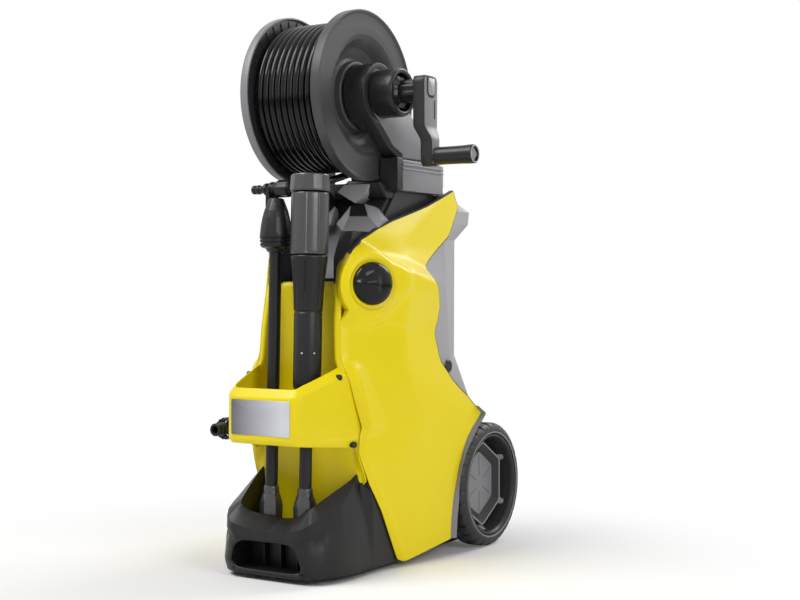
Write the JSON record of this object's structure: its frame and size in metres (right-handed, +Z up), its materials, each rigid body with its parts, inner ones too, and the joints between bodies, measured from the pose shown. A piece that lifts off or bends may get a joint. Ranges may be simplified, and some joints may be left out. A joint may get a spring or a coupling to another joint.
{
  "type": "pressure washer",
  "caption": "Tower pressure washer on wheels with a hose reel and crank on top, standing lances held by a front band, a rotary switch and a moulded foot with a grip.",
  "frame": {"origin": "on the floor, under the middle of the lance channel, with the front of the foot 105 mm ahead of it", "axes": "+X to the machine's right where the crank is, +Y to its back where the wheels are, +Z up"},
  "size_m": [0.367, 0.5005, 0.801],
  "materials": {
    "yellow_shell": "satin moulded yellow",
    "black_plastic": "fine textured black",
    "dark_plastic": "satin charcoal",
    "grey_shell": "satin mid grey",
    "light_grey": "satin light grey",
    "hose_rubber": "glossy black hose skin",
    "tyre_rubber": "matt black rubber",
    "silver_plate": "silver plate with a soft shade from side to side",
    "steel": "bright turned steel",
    "cast_alloy": "sand cast",
    "motor_paint": "dark coated motor case"
  },
  "bodies": {
    "machine": {"arch_liners": "grey_shell", "axle_clips": "steel", "badge_plate": "silver_plate", "bearing_cap": "dark_plastic", "cable_gland": "black_plastic", "cable_hook_lower": "black_plastic", "cable_hook_upper": "light_grey", "chassis_base": "dark_plastic", "cover_screws": "black_plastic", "fan_shroud": "dark_plastic", "front_band": "yellow_shell", "front_bumper": "black_plastic", "front_cover": "yellow_shell", "front_feet": "black_plastic", "gear_case": "cast_alloy", "hose_tail": "hose_rubber", "inlet_elbow": "black_plastic", "inlet_nipple": "black_plastic", "motor_can": "motor_paint", "plug_grip": "black_plastic", "plug_holder": "black_plastic", "plug_nipple": "black_plastic", "pump_head": "cast_alloy", "rear_shell": "grey_shell", "reel_deck": "dark_plastic", "reel_swivel": "dark_plastic", "side_panel_left": "yellow_shell", "side_panel_right": "yellow_shell", "switch_box": "black_plastic", "wheel_axle": "steel", "yoke_arm_left": "dark_plastic", "yoke_arm_right": "dark_plastic"},
    "reel": {"reel_drum": "dark_plastic", "reel_flange_left": "dark_plastic", "reel_flange_right": "dark_plastic", "reel_spindle": "cast_alloy", "hose_winding": "hose_rubber", "crank_hub": "black_plastic", "crank_arm": "black_plastic"},
    "latch": {"crank_latch": "light_grey"},
    "grip": {"crank_grip": "black_plastic"},
    "knob": {"switch_knob": "black_plastic", "knob_shaft": "steel"},
    "wheel_right": {"wheel_disc_right": "dark_plastic", "tyre_right": "tyre_rubber", "hub_cover_right": "light_grey"},
    "wheel_left": {"wheel_disc_left": "dark_plastic", "tyre_left": "tyre_rubber", "hub_cover_left": "light_grey"},
    "rotor_lance": {"rotor_lance_fitting": "black_plastic", "rotor_lance_tube": "black_plastic", "rotor_nozzle": "black_plastic"},
    "spray_lance": {"spray_lance_fitting": "black_plastic", "spray_lance_tube": "black_plastic", "spray_lance_body": "black_plastic"},
    "spray_head": {"spray_sleeve": "black_plastic", "spray_cap": "black_plastic"},
    "inlet_nut": {"inlet_collar": "black_plastic"},
    "motor_rotor": {"motor_shaft": "steel", "motor_fan": "black_plastic"}
  },
  "joints": [
    {"name": "reel_spin", "type": "hinge", "parent": "machine", "child": "reel", "pos_m": [0, 0.077, 0.677], "axis": [1, 0, 0], "continuous": true},
    {"name": "latch_slide", "type": "slide", "parent": "reel", "child": "latch", "axis": [0, 0, 1], "range_m": [0, 0.004]},
    {"name": "grip_spin", "type": "hinge", "parent": "reel", "child": "grip", "pos_m": [0.163, 0.077, 0.583], "axis": [1, 0, 0], "continuous": true},
    {"name": "switch_turn", "type": "hinge", "parent": "machine", "child": "knob", "pos_m": [0.095, 0.0127, 0.404], "axis": [0.866, -0.5, 0], "range_deg": [0, 90]},
    {"name": "wheel_right_roll", "type": "hinge", "parent": "machine", "child": "wheel_right", "pos_m": [0.12, 0.291, 0.095], "axis": [1, 0, 0], "continuous": true},
    {"name": "wheel_left_roll", "type": "hinge", "parent": "machine", "child": "wheel_left", "pos_m": [-0.12, 0.291, 0.095], "axis": [1, 0, 0], "continuous": true},
    {"name": "rotor_lance_lift", "type": "slide", "parent": "machine", "child": "rotor_lance", "axis": [0, 0.0291, 0.9996], "range_m": [0, 0.022]},
    {"name": "spray_lance_lift", "type": "slide", "parent": "machine", "child": "spray_lance", "axis": [0, 0.0291, 0.9996], "range_m": [0, 0.022]},
    {"name": "spray_head_turn", "type": "hinge", "parent": "spray_lance", "child": "spray_head", "pos_m": [0.029, -0.04, 0.46], "axis": [0, 0.0291, 0.9996], "range_deg": [0, 150]},
    {"name": "inlet_nut_turn", "type": "hinge", "parent": "machine", "child": "inlet_nut", "pos_m": [-0.118, -0.037, 0.196], "axis": [0, 1, 0], "continuous": true},
    {"name": "motor_turn", "type": "hinge", "parent": "machine", "child": "motor_rotor", "pos_m": [0, 0.13, 0.18], "axis": [0, 0, 1], "continuous": true}
  ]
}
